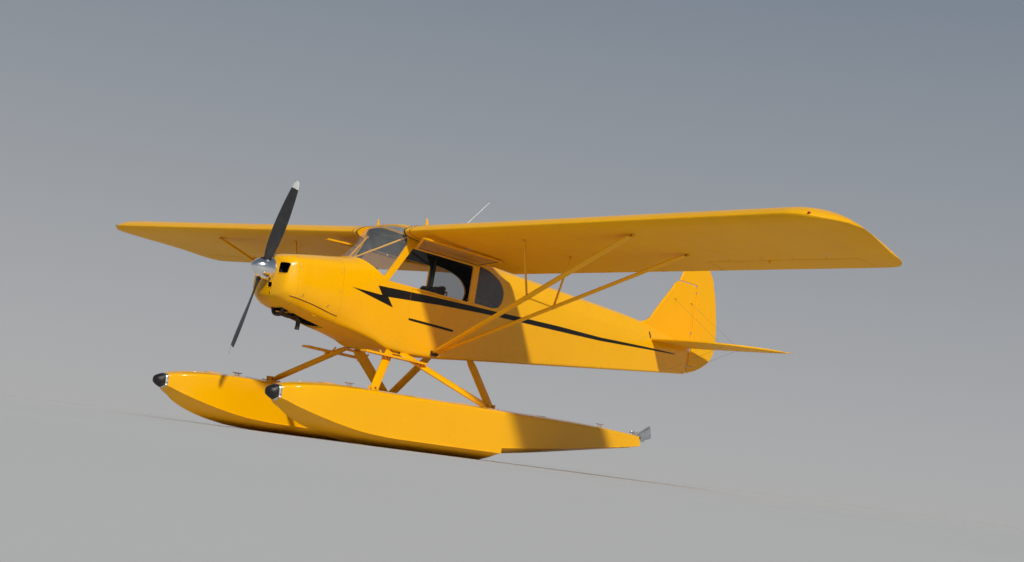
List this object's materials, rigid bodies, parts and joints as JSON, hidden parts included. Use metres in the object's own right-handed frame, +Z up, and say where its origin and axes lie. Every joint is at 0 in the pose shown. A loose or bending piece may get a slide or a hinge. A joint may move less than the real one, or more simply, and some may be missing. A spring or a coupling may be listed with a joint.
{
  "type": "floatplane",
  "caption": "High-wing fabric-covered light floatplane with strut-braced wings, tandem cabin, side doors open and closed, and straight floats.",
  "frame": {"origin": "middle of the overall length, on the plane of symmetry, on the floor under the float keels", "axes": "+X to the aircraft's left wing tip, -Y towards the propeller, +Z up"},
  "size_m": [10.8068, 7.3404, 2.7532],
  "materials": {
    "yellow_metal": "gloss paint",
    "yellow_cover": "doped fabric, gloss paint",
    "yellow_wing": "doped fabric, gloss paint",
    "yellow_tail": "doped fabric, gloss paint",
    "yellow_door": "gloss paint",
    "yellow_float": "gloss paint on a thin composite shell, stored as a solid",
    "engine": "matt",
    "exhaust": "heat-stained",
    "polished_alloy": "polished",
    "bare_alloy": "satin",
    "bare_steel": "satin",
    "blade_black": "matt black paint",
    "panel_black": "matt",
    "floor_board": "matt",
    "seat_cloth": "woven",
    "antenna_white": "gloss",
    "bumper_rubber": "matt",
    "plexiglass": "clear"
  },
  "bodies": {
    "airframe": {"cowling": "yellow_metal", "engine_block": "engine", "exhaust_stacks": "exhaust", "firewall": "bare_steel", "boot_cowl": "yellow_metal", "belly": "yellow_cover", "cabin_roof": "yellow_cover", "cabin_side_left": "yellow_cover", "cabin_side_right": "yellow_cover", "rear_fuselage": "yellow_cover", "windshield": "plexiglass", "skylight": "plexiglass", "quarter_window_left": "plexiglass", "quarter_window_right": "plexiglass", "windshield_brace": "yellow_metal", "instrument_panel": "panel_black", "cabin_floor": "floor_board", "front_seat": "seat_cloth", "front_seat_frame": "bare_steel", "rear_seat": "seat_cloth", "rear_seat_frame": "bare_steel", "control_sticks": "bare_steel", "wing_left": "yellow_wing", "wing_right": "yellow_wing", "lift_struts_left": "yellow_metal", "lift_struts_right": "yellow_metal", "fin": "yellow_tail", "tailplane_left": "yellow_tail", "tailplane_right": "yellow_tail", "antenna": "antenna_white", "boarding_plank_left": "yellow_metal", "boarding_plank_right": "yellow_metal", "float_left": "yellow_float", "float_right": "yellow_float", "bow_bumper_left": "bumper_rubber", "bow_bumper_right": "bumper_rubber", "float_struts_left": "yellow_metal", "float_struts_right": "yellow_metal", "spreader_bar_front": "yellow_metal", "spreader_bar_rear": "yellow_metal"},
    "propeller_unit": {"spinner": "polished_alloy", "propeller": "blade_black"},
    "left_aileron": {"aileron_left": "yellow_wing"},
    "right_aileron": {"aileron_right": "yellow_wing"},
    "elevator_unit": {"elevator": "yellow_tail"},
    "rudder_unit": {"rudder": "yellow_tail"},
    "left_upper_door": {"upper_door_left": "yellow_door", "upper_door_pane_left": "plexiglass"},
    "right_upper_door": {"upper_door_right": "yellow_door", "upper_door_pane_right": "plexiglass"},
    "left_lower_door": {"lower_door_left": "yellow_door"},
    "right_lower_door": {"lower_door_right": "yellow_door"},
    "left_water_rudder": {"water_rudder_left": "bare_alloy"},
    "right_water_rudder": {"water_rudder_right": "bare_alloy"}
  },
  "joints": [
    {"name": "propeller_spin", "type": "hinge", "parent": "airframe", "child": "propeller_unit", "pos_m": [0, -3.23771, 1.5497], "axis": [0, -0.9993, 0.0384], "continuous": true},
    {"name": "aileron_left_hinge", "type": "hinge", "parent": "airframe", "child": "left_aileron", "pos_m": [4.06673, -0.58859, 2.15759], "axis": [0.9997, 0.0009, 0.024], "range_deg": [-18, 18]},
    {"name": "aileron_right_hinge", "type": "hinge", "parent": "airframe", "child": "right_aileron", "pos_m": [-4.06673, -0.58859, 2.15759], "axis": [0.9997, -0.0009, -0.024], "range_deg": [-18, 18]},
    {"name": "elevator_hinge", "type": "hinge", "parent": "airframe", "child": "elevator_unit", "pos_m": [0, 3.17093, 1.67778], "axis": [1, 0, 0], "range_deg": [-23, 17]},
    {"name": "rudder_hinge", "type": "hinge", "parent": "airframe", "child": "rudder_unit", "pos_m": [0, 3.20405, 1.91468], "axis": [0, 0.0384, 0.9993], "range_deg": [-25, 25]},
    {"name": "upper_door_left_hinge", "type": "hinge", "parent": "airframe", "child": "left_upper_door", "pos_m": [0.376, -1.48349, 2.0167], "axis": [0, 0.9993, -0.0384], "range_deg": [0, 97]},
    {"name": "upper_door_right_hinge", "type": "hinge", "parent": "airframe", "child": "right_upper_door", "pos_m": [-0.376, -1.48349, 2.0167], "axis": [0, -0.9993, 0.0384], "range_deg": [0, 97]},
    {"name": "lower_door_left_hinge", "type": "hinge", "parent": "airframe", "child": "left_lower_door", "pos_m": [0.362, -1.34068, 1.3057], "axis": [0, 0.9993, -0.0384], "range_deg": [0, 110]},
    {"name": "lower_door_right_hinge", "type": "hinge", "parent": "airframe", "child": "right_lower_door", "pos_m": [-0.362, -1.34068, 1.3057], "axis": [0, -0.9993, 0.0384], "range_deg": [0, 110]},
    {"name": "water_rudder_left_pivot", "type": "hinge", "parent": "airframe", "child": "left_water_rudder", "pos_m": [0.925, 1.3058, 0.38], "axis": [0, 0, 1], "range_deg": [-25, 25]},
    {"name": "water_rudder_right_pivot", "type": "hinge", "parent": "airframe", "child": "right_water_rudder", "pos_m": [-0.925, 1.3058, 0.38], "axis": [0, 0, 1], "range_deg": [-25, 25]}
  ],
  "couplings": [
    {"joint": "aileron_right_hinge", "follows": "aileron_left_hinge", "ratio": -1},
    {"joint": "water_rudder_left_pivot", "follows": "rudder_hinge", "ratio": 1},
    {"joint": "water_rudder_right_pivot", "follows": "rudder_hinge", "ratio": 1}
  ]
}
